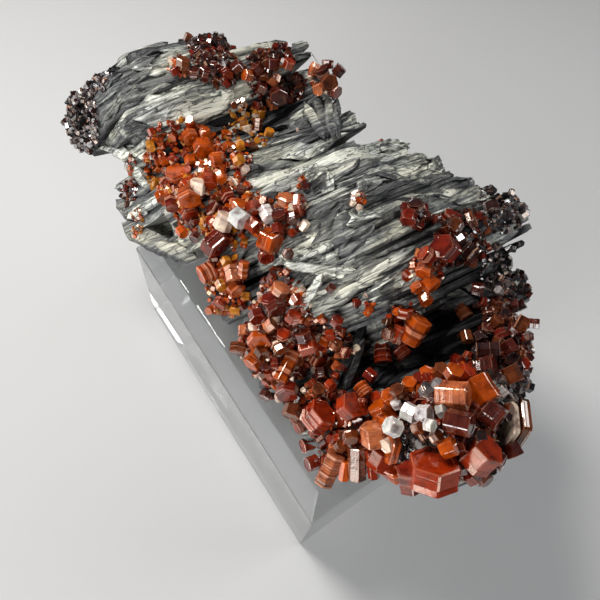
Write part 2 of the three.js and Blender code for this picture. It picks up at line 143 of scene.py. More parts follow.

# Vanadinite crystals that are large enough to read one by one. Each row is a
# hexagonal prism: centre x, y, z, radius and height, then its axis as a turn and a tilt,
# and its colour where it has one of its own.
# Cream and white crystals here are painted glints
CRYSTALS = {
    "far_top_crystals": [
        (-55, -6, 82, 1.9, 2.4, 110, 70),
        (-54.5, -8.5, 81, 1.2, 1.6, -160, 50),
        (-51.5, -2, 80.5, 1.5, 2, 90, 70),
        (-52.5, 4, 81, 1.7, 2.2, -170, 60),
        (-49.5, 3, 79.5, 1.5, 2, -10, 0),
        (-49.5, 6, 80.5, 1.7, 2.4, 70, 40),
        (-52.5, 1, 80.5, 1.2, 1.8, 170, 80),
        (-52.5, -4.5, 80.5, 1.5, 2, 130, 80),
    ],
    "back_crust_crystals": [
        (-41.5, 13, 74.5, 2.6, 2.6, -20, 10),
        (-42.5, 12, 71.5, 1.8, 2, -90, 10),
        (-41.5, 17.5, 72, 1.6, 2, 60, 40),
        (-45.5, 14, 76.5, 2.1, 2.4, -120, 40),
        (-45, 13.5, 81.5, 1.7, 2.4, 150, 60),
        (-43, 17, 81.5, 1.5, 2, 90, 70),
        (-46.5, 10, 80.5, 1.7, 2.2, -140, 50),
        (-45, 10, 75.5, 1.8, 2.2, -120, 30),
        (-43.5, 8, 72, 1.5, 2, -70, 20),
        (-46.5, 7, 79.5, 1.5, 2, -100, 30),
    ],
    "knob_crystals": [
        (-34.5, 23.5, 79.5, 2.2, 2.2, -20, 30),
        (-40.5, 26, 77.5, 1.8, 2.4, -150, 60),
        (-42.5, 25, 77.5, 1.6, 2.4, -120, 30),
        (-40, 31, 76.5, 1.8, 2.4, 80, 50),
        (-35, 21, 78, 1.5, 2, -60, 10),
        (-33, 24.5, 77.5, 1.8, 2.2, 10, 10),
        (-42.5, 29, 77.5, 1.6, 2, 150, 60),
    ],
    "gully_crystals": [
        (-39, 5.5, 70.5, 1.3, 3, 140, 50),
        (-39, 2.5, 69.5, 1.3, 3, 170, 50),
        (-34.5, 6, 71, 1.3, 2, 90, 70),
        (-42.5, 3, 70, 1.3, 2, -150, 60),
        (-31.5, -4, 74, 1.2, 2, -30, 10),
        (-30.5, -1, 73, 1.2, 2, -10, 10),
        (-42, 8.5, 70.5, 1.3, 2, 130, 70),
    ],
    "left_crystals": [
        (-37.5, -11, 71.5, 2.7, 3, -20, 0, "orange"),
        (-27.5, -20.5, 69.5, 3, 3, -20, 0, "orange"),
        (-27.5, -18, 71.5, 1.9, 3.2, 130, 60, "cream"),
        (-42, -8, 71, 1.7, 2.2, 170, 60),
        (-43.5, -11.5, 70.5, 2.2, 2.2, -10, 0),
        (-38, -14.5, 68.5, 1.7, 2.4, -20, 0),
        (-38.5, -18.5, 66, 2.7, 2.2, -150, 80),
        (-45.5, -18.5, 65, 1.5, 3, -10, 0),
        (-47.5, -20.5, 68.5, 1.2, 2.4, -20, 0),
        (-46.5, -20, 61.5, 1.6, 2, -120, 40),
        (-39.5, -21, 62.5, 1.8, 2.6, 0, 20),
        (-37.5, -24, 61.5, 1.5, 2.2, -10, 0),
        (-32, -23.5, 64, 1.7, 3, -20, 0),
        (-43, -22.5, 60.5, 1.5, 2, -110, 30),
        (-27.5, -15, 72, 1.9, 3.4, -30, -10),
        (-31.5, -10.5, 73, 1.9, 2.8, 170, 60),
        (-35.5, -5, 70.5, 1.7, 2.2, 100, 60),
        (-41.5, -2.5, 68.5, 1.5, 2, 110, 70),
        (-26.5, -12.5, 72.5, 1.4, 2.2, -10, 0),
        (-27.5, -7, 74.5, 1.4, 1.8, 50, 50),
    ],
    "belt_crystals": [
        (-14, -21, 67.5, 3.9, 3.6, 10, -10, "red"),
        (-15.5, -18, 71.5, 2.2, 3.8, 110, 50, "cream"),
        (-22, -17, 68.5, 2.1, 2.4, -130, 40),
        (-22, -13, 70, 1.9, 2.4, -10, 10),
        (-13, -15.5, 74, 2.4, 3.2, 10, 0, "white"),
        (-10.5, -13.5, 73, 1.8, 2.6, 10, 0),
        (-13.5, -11.5, 74.5, 2, 2.2, 70, 40),
        (-26.5, -21, 64.5, 2.4, 2, -20, 0),
        (-24.5, -21, 63, 1.9, 2, -30, 20),
        (-24, -25, 63, 1.4, 2.4, 0, 10),
        (-20, -23.5, 64.5, 1.4, 1.8, -60, 0),
        (-15.5, -14, 74.5, 1.8, 2, 90, 70),
        (-22, -9.5, 71, 1.4, 1.8, 130, 70),
    ],
    "rosette_crystals": [
        (-3.5, -13.5, 75, 3, 3.6, 20, 10, "orange"),
        (-2, -15.5, 73, 1.9, 2, -20, 10),
        (-10.5, -10, 74.5, 1.8, 3.4, -10, 0, "white"),
        (-5, -5.5, 80.5, 2.7, 1.6, 50, 20, "flame"),
        (-10.5, -5, 76, 2.2, 2.2, 130, 70, "peach"),
        (-3, -8.5, 80, 1.2, 1.8, -30, 0),
        (-4, -11.5, 77, 1.5, 2.4, -30, 0),
        (-6.5, -9.5, 78, 1.7, 1.8, -140, 70),
        (3.5, -14, 79.5, 1.2, 1.4, 0, 30),
        (0, -14, 69, 1.5, 1.8, -60, 10),
    ],
    "lower_left_crystals": [
        (-11.5, -25.5, 62, 2.5, 3.4, -90, 0, "orange"),
        (-5.5, -22, 66.5, 1.8, 3.6, -20, -10, "peach"),
        (-3, -22.5, 64, 2.2, 2, 0, 0),
        (-4, -20, 68.5, 1.3, 3.6, 140, 50),
        (-6.5, -24.5, 62.5, 1.4, 2, -10, 0),
        (-4.5, -26, 58.5, 1.8, 2, -60, 0),
        (-9, -21.5, 66.5, 1.4, 1.8, -10, 10),
    ],
    "middle_crystals": [
        (6, -17, 71.5, 2.1, 1.8, 100, 60),
        (5.5, -19, 68.5, 2.1, 1.8, -150, 60),
        (9, -20, 71, 2.5, 1.8, -10, 0),
        (6.5, -23, 66.5, 1.9, 2.2, -20, 10),
        (13, -18.5, 72, 1.6, 2, 90, 70),
        (16.5, -18, 69, 1.9, 2.2, -180, 50),
        (13.5, -21, 67.5, 1.5, 1.8, -120, 90),
        (10.5, -25, 63.5, 2.8, 2, -30, 20),
        (7.5, -28.5, 58.5, 2, 2.2, -40, -10),
        (12.5, -27.5, 60, 2, 2.8, -70, 0),
        (12.5, -25.5, 62, 1.7, 2.2, 0, 10),
        (15.5, -24, 60.5, 1.1, 2.4, -30, -10),
        (18, -22.5, 61.5, 1.7, 7.2, -60, -10),
        (18.5, -18, 67, 1.9, 3.2, 60, 30),
        (22, -25, 59, 2.6, 2.6, -40, 20),
        (14.5, -22.5, 65, 1.7, 2.4, -10, 0),
        (11, -16.5, 74.5, 1.2, 1.8, -10, 0),
        (25.5, -26, 56.5, 2.1, 2.6, -50, 0),
        (16, -26, 53.5, 1.3, 1.8, -70, 0),
        (19, -19.5, 57.5, 1.5, 2, 30, 40),
        (9.5, -23.5, 65, 1.3, 1.8, 90, 70),
        (10, -22, 67, 1.5, 2.2, 80, 40),
        (17.5, -27.5, 50.5, 1.6, 1.8, -60, 0),
    ],
    "small_front_crystals": [
        (20, -16, 60.5, 1.7, 2, 10, 20),
        (23, -17, 60.5, 1.5, 2.4, -30, 0),
        (20.5, -12, 65.5, 1.5, 2.2, 10, 10),
        (19.5, -13.5, 69.5, 1.2, 1.6, -30, 10),
        (18.5, -11.5, 72, 1.4, 1.6, 90, 70),
        (25.5, -19.5, 60, 1.5, 2.2, -120, 90),
        (27, -18, 64, 1.2, 1.6, 0, 20),
        (18.5, -14.5, 64.5, 1.3, 1.8, -40, 10),
        (14.5, -10, 69, 1.1, 1.4, 90, 70),
        (13.5, -10, 76.5, 1, 1.4, 90, 70),
        (23.5, -12, 66.5, 1.3, 1.6, 20, 20),
        (16, -13, 70.5, 1.2, 1.4, 70, 40),
    ],
    "bottom_crystals": [
        (30.5, -23, 60.5, 3.5, 4.2, 90, 50, "flame"),
        (33.5, -18, 66, 3, 2.8, 70, 60, "flame"),
        (40, -26.5, 58, 2.2, 7.2, 120, 40, "peach"),
        (42.5, -22.5, 62.5, 2, 6.8, 150, 40, "brown"),
        (42, -24.5, 59, 1.2, 4, 140, 40),
        (36.5, -28, 54, 1.7, 2.6, -100, 10),
        (31, -24.5, 45, 1.8, 2.8, -100, 10),
        (38.5, -22, 67, 1.5, 1.8, -30, 20),
        (32, -14, 67, 1.6, 2.6, 0, 0),
        (44.5, -20.5, 63.5, 1.2, 5.8, 160, 40),
        (34, -15.5, 66.5, 1, 1.6, 40, 30),
        (34.5, -23.5, 55.5, 1.7, 2.2, -10, 10),
        (28.5, -25.5, 53, 1.5, 2, -90, 10),
        (38, -23, 61.5, 1.4, 1.8, 90, 70),
    ],
    "ridge_crystals": [
        (28.5, 1.5, 71, 2.7, 5.6, 110, 50, "orange"),
        (27, -1.5, 70, 1.7, 3.8, 120, 40),
        (24.5, 1, 73.5, 2, 2, 140, 60),
        (25, 6, 74.5, 1.6, 2, -10, 10),
        (26, -3.5, 70.5, 1.4, 1.6, -100, 30),
        (26.5, -3.5, 62.5, 2, 4.4, -30, -10),
        (29, 0, 63, 2, 2.4, 0, 0),
        (30, -10, 65, 1.5, 2.2, 10, 10),
        (27.5, -11, 59, 1.3, 1.8, -10, 10),
        (21.5, 10.5, 85, 2.9, 3.2, -120, 40, "red"),
        (20.5, 7, 84, 1.8, 2.6, -140, 30),
        (22, 6, 81.5, 1.8, 2.2, -60, 0),
        (24.5, 6, 80, 1.8, 2.4, 0, 0),
        (23.5, 3.5, 79.5, 1.4, 1.6, -10, 0),
    ],
    "upper_right_crystals": [
        (12, 9, 85.5, 1.8, 2.4, -50, -10),
        (10.5, 12, 85.5, 1.8, 2, 180, 70),
        (12.5, 13.5, 83.5, 1.4, 2, -10, 0),
        (13.5, 16.5, 81.5, 1.3, 1.6, 0, 20),
        (7.5, 12, 81.5, 1.3, 1.4, -100, 30),
        (18, 16.5, 84, 1.8, 2.8, -70, -10),
        (18.5, 21, 84, 2.1, 1.4, 60, 40),
        (22.5, 19, 79, 1.9, 2.8, 10, 0),
        (14, 20, 81, 1.5, 2, 90, 70),
        (20.5, 16.5, 83, 1.4, 1.8, -10, 0),
        (20, 27.5, 77, 1.5, 2.2, -30, 0),
        (17.5, 29, 82, 1.5, 2.2, -30, 0),
    ],
    "right_crystals": [
        (30, 15, 68.5, 1.7, 3.2, -10, 0),
        (30.5, 19.5, 68.5, 1.5, 3.2, 50, 20),
        (33, 19.5, 69, 1.5, 2.8, -20, -10),
        (34, 24.5, 68.5, 1.8, 4.4, 50, 20),
        (35.5, 28, 67.5, 1.3, 2, 70, 40),
        (40, 20, 74, 1.8, 2.6, 20, 10),
        (41.5, 21, 75.5, 1.2, 1.8, 40, 20),
        (35.5, 9.5, 71.5, 1.4, 2.2, -30, 0),
        (40.5, 9, 75, 1.6, 4.4, 50, 20),
        (42.5, 13.5, 74.5, 1.6, 2.6, -10, 0),
        (31, 27.5, 68.5, 1.6, 2, 100, 60),
        (47, 8.5, 76, 1.9, 3.2, -10, -10),
        (36.5, 13.5, 72.5, 1.4, 2, 90, 70),
        (37, 11.5, 72, 1.4, 1.8, -20, 0),
        (39, 15.5, 72, 1.6, 2.2, -10, 0),
        (28.5, 18.5, 73, 1.5, 2, 150, 60),
        (44.5, 13, 72.5, 1.6, 2.4, 30, 10),
        (40, 18.5, 72.5, 1.7, 1.8, 100, 60),
        (36.5, 16.5, 73, 1.4, 1.8, 90, 70),
        (30.5, 23.5, 68.5, 1.6, 2, 90, 70),
    ],
    "crest_crystals": [
        (52.5, -16, 75.5, 4.7, 4.8, 150, 50, "flame"),
        (51, -19, 72, 2.3, 4.6, 170, 50, "red"),
        (48.5, -18, 65, 2.1, 2.6, -160, 60, "orange"),
        (55, -8.5, 78.5, 3.2, 4.8, 100, 60, "flame"),
        (56.5, -10.5, 75, 1.9, 2, 70, 50, "red"),
        (57.5, -3, 71.5, 1.8, 2.2, 20, 20, "red"),
        (52.5, 3.5, 71, 5.2, 1.4, -120, 10, "cream"),
        (53.5, 7, 67.5, 5.9, 2, -130, 10, "brown"),
        (57.5, 1.5, 70, 1.9, 2.6, -10, -10, "wine"),
        (46.5, 0, 78.5, 2.7, 5, -10, 0, "orange"),
        (44.5, -6.5, 81, 2.6, 5.4, 40, 30, "peach"),
        (43, 6.5, 74.5, 2.3, 3.2, 50, 40, "wine"),
        (45.5, 7, 74, 1.7, 2.4, 20, 20, "dark"),
        (51, -3, 81, 2.4, 3.4, 10, 10, "wine"),
        (49, -10, 83, 2.2, 4.4, 30, 30, "wine"),
        (51, -13, 80, 1.7, 2.6, 70, 40, "orange"),
        (52, -10.5, 79.5, 1.5, 2, 50, 50, "wine"),
        (52.5, -7.5, 80, 1.5, 1.8, 40, 60, "dark"),
        (38, -14, 68.5, 2.5, 3.4, -170, 30, "orange"),
        (41, -18.5, 69.5, 2.8, 3.8, 160, 40, "peach"),
        (45, -19, 65, 2.7, 3.6, 120, 40, "flame"),
        (42.5, -17, 68.5, 5.1, 1.8, -110, 10, "orange"),
        (48, -18.5, 64.5, 2.1, 2.2, -60, 0, "flame"),
        (37, -12.5, 72, 1.7, 1.8, -150, 50, "orange"),
        (37.5, -11.5, 74.5, 1.5, 1.8, -150, 60, "brown"),
        (37.5, -8.5, 74, 1.5, 1.8, 180, 70, "orange"),
        (37.5, -5.5, 72.5, 1.4, 1.8, 180, 70, "red"),
        (37.5, -3.5, 72.5, 1.6, 1.8, 160, 70, "orange"),
        (39, -2, 75, 1.7, 2, 130, 70, "brown"),
        (41, -2.5, 79, 1.8, 2, 110, 70, "orange"),
        (42, 1, 76.5, 1.7, 2.2, 80, 60, "flame"),
        (42, -12.5, 75, 1.8, 2.6, 20, 20, "white"),
        (44, -11.5, 77.5, 1.8, 2.4, 40, 40, "white"),
        (42.5, -17, 75.5, 1.8, 2.6, -140, 30, "white"),
        (44, -18, 71, 1.5, 2.2, -90, 20, "cream"),
        (39, -12.5, 72.5, 1.1, 1.6, -150, 60, "white"),
        (41, -9.5, 80, 1.4, 1.6, 110, 70, "grey"),
        (45.5, -9.5, 80, 1.4, 1.6, 60, 50, "stone"),
        (46.5, -14, 82, 1.2, 1.6, 20, 40, "white"),
        (41.5, -7.5, 81, 1.1, 1.4, 90, 70, "stone"),
        (45.5, -15, 79.5, 1.2, 1.6, 50, 60, "brown"),
        (48.5, -13.5, 80, 1.2, 1.6, 70, 60, "brown"),
    ],
}

# The colours that a group's crystals are drawn from, where they are not russet
GROUP_PALETTES = {
    "far_top_crystals": "deep",
    "gully_crystals": "gold",
    "left_crystals": "bright",
    "lower_left_crystals": "bright",
    "bottom_crystals": "ember",
    "ridge_crystals": "ember",
    "upper_right_crystals": "deep",
    "right_crystals": "deep",
    "crest_crystals": "ember",
}
COLORS = {
    "orange": (0.42, 0.06, 0.003),
    "flame": (0.26, 0.02, 0.003),
    "red": (0.14, 0.009, 0.003),
    "wine": (0.075, 0.01, 0.006),
    "dark": (0.028, 0.007, 0.006),
    "brown": (0.12, 0.026, 0.007),
    "amber": (0.5, 0.18, 0.015),
    # Cream and white are painted glints: crystals coloured pale as if their faces reflected a light
    "cream": (0.72, 0.56, 0.45),
    "white": (0.72, 0.7, 0.68),
    "grey": (0.08, 0.075, 0.08),
    "peach": (0.44, 0.12, 0.045),
    "stone": (0.3, 0.28, 0.28),
    "coal": (0.014, 0.012, 0.014),
}
PALETTES = {
    "bright": ["orange", "flame", "orange", "red", "orange", "flame", "amber", "orange", "amber"],
    "russet": ["flame", "red", "orange", "red", "wine", "flame", "wine", "brown", "peach"],
    "mixed": ["flame", "red", "orange", "flame", "wine", "peach", "orange", "wine", "cream", "cream"],
    "ember": ["flame", "red", "flame", "brown", "orange", "red"],
    "deep": ["wine", "dark", "wine", "red", "brown", "dark"],
    "gold": ["amber", "orange", "amber", "brown", "cream"],
    "coal": ["coal", "grey", "dark", "coal", "coal", "stone"],
}

# Crowds of small crystals: centre x, y, z, spread, count, smallest and largest
# radius, and palette
CROWDS = [
    (-40.5, -15, 65, 11, 420, 0.5, 1.3, "bright"),
    (-27, -18, 67.5, 8, 170, 0.5, 1.3, "bright"),
    (-40, 4, 68.5, 7, 130, 0.4, 1, "gold"),
    (-31.5, -8.5, 71.5, 7, 130, 0.5, 1.1, "mixed"),
    (-16.5, -14.5, 71, 8, 170, 0.5, 1.3, "bright"),
    (-8, -7, 74.5, 5.5, 70, 0.5, 1.3, "mixed"),
    (-6.5, -23.5, 61.5, 7, 150, 0.5, 1.3, "bright"),
    (3, -14.5, 60.5, 7, 130, 0.5, 1.3, "mixed"),
    (11, -23.5, 61, 8, 230, 0.5, 1.4, "mixed"),
    (15, -17.5, 64, 6, 130, 0.5, 1.3, "mixed"),
    (20, -12.5, 62, 5.5, 100, 0.5, 1.2, "mixed"),
    (24, -23, 55.5, 6.5, 150, 0.5, 1.4, "mixed"),
    (32, -19.5, 57.5, 6.5, 140, 0.5, 1.4, "ember"),
    (40, -23, 57.5, 5, 70, 0.5, 1.3, "ember"),
    (-53, 1.5, 80, 6, 90, 0.5, 1.2, "deep"),
    (-56, -6.5, 81, 3, 30, 0.5, 1.1, "mixed"),
    (-46.5, 15.5, 75, 8, 170, 0.5, 1.3, "deep"),
    (-41.5, 29, 73, 5, 80, 0.5, 1.2, "mixed"),
    (25.5, 1, 70.5, 4, 60, 0.5, 1.3, "ember"),
    (21, 8.5, 78, 4.5, 70, 0.5, 1.3, "mixed"),
    (10.5, 12.5, 83.5, 3.2, 40, 0.5, 1.2, "deep"),
    (19.5, 19.5, 81, 6.5, 120, 0.5, 1.3, "deep"),
    (38.5, 17.5, 69.5, 7.5, 260, 0.6, 1.6, "deep"),
    (43.5, -8, 73, 11, 330, 0.6, 1.7, "ember"),
    (48, -15, 74, 5.5, 300, 0.6, 1.4, "coal"),
    (-70, -32, 64, 9, 480, 0.4, 1.0, "coal"),
    (-66, 2, 84, 5, 110, 0.4, 1, "coal"),
    (18, 33, 80, 6, 150, 0.4, 1, "coal"),
    (29, 28, 72, 7, 200, 0.4, 1.1, "coal"),
    (40.5, -1.5, 75.5, 7, 170, 0.5, 1.3, "ember"),
    (-12.5, 1.5, 76, 1.4, 7, 0.5, 1.1, "mixed"),
    (2.5, 4, 84.5, 2, 14, 0.5, 1.1, "mixed"),
    (-17.5, 28.5, 73, 1, 3, 0.5, 0.8, "mixed"),
    (19.5, -5.5, 75, 1.8, 12, 0.5, 1, "mixed"),
    (-56.5, -28.5, 58.5, 1.5, 8, 0.5, 0.9, "mixed"),
    (-50.5, -26, 62.5, 2.2, 14, 0.5, 1, "mixed"),
    (-48.5, -28, 55, 3.2, 46, 0.5, 1.1, "deep"),
    (-41, -30, 53, 2, 14, 0.4, 0.9, "gold"),
    (-39, -31.5, 50.5, 2, 14, 0.4, 0.9, "gold"),
    (-33.5, 12, 71, 2.4, 16, 0.4, 0.8, "gold"),
    (-35.5, 6, 70.5, 2.4, 18, 0.4, 0.8, "gold"),
    (36, 30, 60, 8, 60, 0.5, 1.4, "deep"),
    (52, 2, 62, 8, 90, 0.5, 1.5, "deep"),
    (50, 8.5, 73, 5, 130, 0.5, 1.3, "coal"),
    (-61, 5, 80, 6, 150, 0.5, 1.2, "deep"),
    (-66, 13, 75, 6, 120, 0.5, 1.1, "coal"),
    (-69, -24, 74, 5, 120, 0.4, 0.9, "coal"),
]

# The share of each count that is dropped onto the surface, the way it is dropped, from
# how far above the crowd's centre, to how far from it, and how deep into a hollow
CROWD_SHARE = 1.05
DROP = Vector((-0.38, 0.34, -0.86)).normalized()
DROP_HEIGHT = 25
DROP_REACH = 16
DROP_DEPTH = 0.3

# The sides of a wide crystal are cut into layers. The others, and PLAIN_SHARE of the
# wide ones, have few of them, and the small ones of a crowd have none.
FEW_LAYERS = 3
MOST_LAYERS = 12
LAYER_HEIGHT = 0.55
LAYERED_RADIUS = 1.3
LAYERED_CROWD_RADIUS = 1.1
PLAIN_SHARE = 0.5

# A placed crystal that stands off the matrix by more than STEM_GAP of its size has a
# smaller one beneath it. That one follows DROP where the matrix is not much farther
# that way, and ends a little inside.
STEM_GAP = 0.7
STEM_SIZE = 0.6
STEM_REACH = 4
STEM_END = 0.8

# Where the barite is darkened: dark barite covered with fine glittering crystals, and painted shade
# in the deep cavity and the hollows: x, y, z, radius
DARK_AND_SHADED_ZONES = [
    (-68, -30, 67, 9),
    (-66, 2, 84, 6),
    (22, 34, 77, 8),
    (29, 30, 74, 8),
    (34, 6, 66, 11),
    (36, -6, 64, 11),
    (30, -10, 62, 7),
    (-3, -17, 63, 5),
    (-38, 12, 72, 5),
    (15, 34, 81, 6),
    (33, 24, 70, 8),
    (32, 12, 67, 12),
    (24, -10, 63, 8),
    (-68, -18, 79, 5),
    (48, -15, 72, 7),
]

# The barite between the crystals of a large crowd gets painted shade too
LARGE_CROWD = 100
DARK_AND_SHADED_ZONES += [crowd[:4] for crowd in CROWDS if crowd[4] >= LARGE_CROWD]

# Hollows that the leaves fall back into: x, y, z, radius and depth. Where the depth
# is negative they stand out instead.
HOLLOWS = [
    (-4, 33, 75, 13, -3.5),
    (-38, -28, 50, 10, -3),
    (32, 8, 67, 8, 7),
    (35, 1, 66, 7, 6),
    (33, -3, 63, 8, 4),
    (48, -15, 73, 6, 3.5),
    (30, 14, 67, 6, 4),
    (28, -10, 61, 6, 3),
    (-37, 10, 71, 6, 3),
    (-2.5, -16.5, 64, 4, 3),
]

# The lights face this point. The floor lies a little below the block.
LIGHT_TARGET = (0, 0, 60)
FLOOR_REACH = 3000
FLOOR_GAP = 0.1

# The camera
CAMERA_PLACE = Vector((54.81, -54.15, 171.81))
CAMERA_RIGHT = Vector((0.5594, 0.8256, 0.0745))
CAMERA_DOWN = Vector((0.7353, -0.4527, -0.5043))
CAMERA_LENS = 33.6

# Where each kind of vertex attribute keeps its numbers
FIELDS = {"FLOAT": "value", "FLOAT_COLOR": "color", "FLOAT_VECTOR": "vector"}

SEED = 20
rng = np.random.default_rng(SEED)


class Shape:
    """Vertices, faces and vertex values of a mesh that is being put together."""

    def __init__(self):
        self.points = []
        self.faces = []
        self.values = []

    def add(self, points, faces, values):
        start = len(self.points)
        self.points.extend(points)
        self.faces.extend([tuple(start + i for i in face) for face in faces])
        self.values.extend(values)

    def tree(self):
        return BVHTree.FromPolygons([tuple(p) for p in self.points], self.faces)


def unit(turn, tilt):
    """A unit direction from a turn about +Z and a tilt up, in degrees."""
    yaw = math.radians(turn)
    pitch = math.radians(tilt)
    level = math.cos(pitch)
    return Vector((level * math.cos(yaw), level * math.sin(yaw), math.sin(pitch)))


def new_object(name, data):
    """An object of the scene from a mesh, a light or a camera."""
    made = bpy.data.objects.new(name, data)
    bpy.context.scene.collection.objects.link(made)
    return made


def make_object(name, shape, attributes):
    """An object from a shape, its values kept in vertex attributes."""
    mesh = bpy.data.meshes.new(name)
    scaled = [tuple(c * MM for c in p) for p in shape.points]
    mesh.from_pydata(scaled, [], shape.faces)
    values = np.array(shape.values, np.float32).reshape(len(shape.points), -1)
    for attribute, kind, first, last in attributes:
        layer = mesh.attributes.new(attribute, kind, "POINT")
        layer.data.foreach_set(FIELDS[kind], values[:, first:last].ravel())
    mesh.validate()
    mesh.update()
    return new_object(name, mesh)


# Barite


def spine_point(share):
    """A point on the spine, by its share of the spine's length."""
    points = [Vector(p) for p in SPINE]
    lengths = [(b - a).length for a, b in zip(points, points[1:])]
    left = share * sum(lengths)
    for a, b, length in zip(points, points[1:], lengths):
        if left <= length:
            return a.lerp(b, left / length)
        left -= length
    return points[-1]


def surface_radii(tree, centres):
    """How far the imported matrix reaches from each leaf's centre, at each angle."""
    far = 70
    missed = 3
    radii = np.zeros((LEAF_COUNT, LEAF_SIDES))
    for row, centre in enumerate(centres):
        for side in range(LEAF_SIDES):
            angle = 2 * math.pi * side / LEAF_SIDES
            way = PLATE_RUN * math.cos(angle) + PLATE_RISE * math.sin(angle)
            hit = tree.ray_cast(centre + way * far, -way, far)
            radii[row, side] = far - hit[3] if hit[0] is not None else missed
    return radii


def smoothed(field, reach):
    """The field averaged along the specimen, over reach leaves on either side."""
    padded = np.pad(field, ((reach, reach), (0, 0)), mode="edge")
    window = 2 * reach + 1
    total = sum(padded[k : k + len(field)] for k in range(window))
    return total / window


def leaf_segments():
    """One leaf's rim as overlapping segments: the rise and the tone of each."""
    rise = np.full(LEAF_SIDES, -LEAF_DROP)
    tone = np.full(LEAF_SIDES, 0.2)
    at = int(rng.integers(0, 12))
    end = at + LEAF_SIDES
    while at < end:
        length = int(rng.integers(10, 40))
        height = rng.uniform(-0.35, 0.45)
        shade = 0.3 + 0.4 * rng.random() ** 1.3
        if rng.random() < PALE_SHARE:
            shade = PALE_TONE
        for step in range(length):
            share = (step + 0.5) / length
            swell = math.sin(math.pi * share) ** 0.6
            side = (at + step) % LEAF_SIDES
            value = height * swell - LEAF_DROP * (1 - swell)
            if value > rise[side]:
                rise[side] = value
                tone[side] = shade
        at += max(4, int(0.7 * length))
    return rise, tone


def dark_and_shade_share(point):
    """From 0 to 1, how far a point lies in one of the dark zones of dark barite and painted shade."""
    most = 0.0
    for x, y, z, radius in DARK_AND_SHADED_ZONES:
        apart = (point - Vector((x, y, z))).length / radius
        most = max(most, min(1.0, 1.6 * (1 - apart)))
    return max(0.0, most)


def hollow_depth(point):
    """How far the surface falls back at a point, or stands out where it is negative."""
    most = 0.0
    for x, y, z, radius, depth in HOLLOWS:
        apart = (point - Vector((x, y, z))).length / radius
        if apart < 1:
            here = depth * (1 - apart**2)
            if abs(here) > abs(most):
                most = here
    return most


def leaf_rims():
    """Every leaf's rim, in runs of alike leaves: its rises, its tones, and which
    leaves open a run."""
    shadow = 0.6
    lifts = []
    tones = []
    opens = [False] * LEAF_COUNT + [True]
    left = 0
    for row in range(LEAF_COUNT):
        if left == 0:
            left = int(rng.integers(1, 5))
            opens[row] = True
            rise, tone = leaf_segments()
            slant = int(rng.integers(-3, 4))
        else:
            rise = np.roll(rise, slant)
            tone = np.roll(tone, slant)
        left -= 1
        lifts.append(rise + rng.normal(0, 0.05, LEAF_SIDES))
        tones.append(tone * rng.uniform(0.85, 1.15))
    lifts = np.array(lifts)
    hidden = np.clip(smoothed(lifts, 2) - lifts, 0, LEAF_DROP) / LEAF_DROP
    return lifts, np.array(tones) * (1 - shadow * hidden), opens


def leaf_faces():
    """The faces of a leaf: two bands round its rim and a fan on either side."""
    last = 2 * LEAF_SIDES
    middle = 3 * LEAF_SIDES
    faces = []
    for side in range(LEAF_SIDES):
        after = (side + 1) % LEAF_SIDES
        for a in (0, LEAF_SIDES):
            b = a + LEAF_SIDES
            faces.append((a + side, a + after, b + after, b + side))
        faces.append((after, side, middle))
        faces.append((last + side, last + after, middle + 1))
    return faces


def barite_leaves(shape):
    """The matrix as thin plates on edge, each a leaf with its own ragged rim."""
    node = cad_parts["barite_matrix"]
    points = [v.co / MM for v in node.data.vertices]
    tree = BVHTree.FromPolygons(points, [tuple(p.vertices) for p in node.data.polygons])
    low = Vector([min(p[k] for p in points) for k in range(3)])
    high = Vector([max(p[k] for p in points) for k in range(3)])
    centres = [spine_point((row + 0.5) / LEAF_COUNT) for row in range(LEAF_COUNT)]
    packed = surface_radii(tree, centres)
    most_lift = 1.5
    eased = np.minimum(smoothed(packed, 4), packed + most_lift)
    base = 0.55 * packed + 0.45 * eased
    least = 1.0
    lifts, tones, opens = leaf_rims()
    faces = leaf_faces()
    half = 0.5 * (centres[-1] - centres[0]).dot(PLATE_ACROSS) / LEAF_COUNT
    half = abs(half) + LEAF_OVERLAP
    for row, centre in enumerate(centres):
        fan = math.radians(rng.uniform(-1.5, 1.5))
        run = Matrix.Rotation(fan, 3, PLATE_RISE) @ PLATE_RUN
        side_way = run.cross(PLATE_RISE)
        low_cut = LEAF_BEVEL if opens[row] else LEAF_SEAM
        high_cut = LEAF_BEVEL if opens[row + 1] else LEAF_SEAM
        rings = []
        shades = []
        for across, back in ((-half, low_cut), (0, 0), (half, high_cut)):
            for side in range(LEAF_SIDES):
                angle = 2 * math.pi * side / LEAF_SIDES
                way = run * math.cos(angle) + PLATE_RISE * math.sin(angle)
                radius = max(least, base[row, side] + lifts[row, side] - back)
                rim = centre + way * radius
                radius = max(least, radius - hollow_depth(rim))
                point = centre + way * radius + side_way * across
                point = Vector([min(max(point[k], low[k]), high[k]) for k in range(3)])
                # The dark zones take the tone away, as dark barite and as painted shade in the cavity
                # and between crystals
                shade = tones[row, side] * (1 - DARKENING * dark_and_shade_share(point))
                rings.append(point)
                # The cut edges where a run ends get painted shade, as in a crevice
                shades.append(shade * (SEAM_PAINTED_SHADE if back == LEAF_BEVEL else 1))
        rings += [centre - side_way * half, centre + side_way * half]
        shades += [0.5, 0.5]
        shape.add(rings, faces, shades)
    return low, high


def draped(point, tree):
    """A point held down to within a little of the surface below it, or left as it is
    where it lies inside."""
    inside = -0.7
    spot, normal, _, _ = tree.find_nearest(point)
    away = point - spot
    over = away.dot(normal)
    if over > LEAF_LIFT or (away.length > 2 * LEAF_LIFT and over > inside * away.length):
        return spot + normal * min(max(over, 0), LEAF_LIFT)
    return point


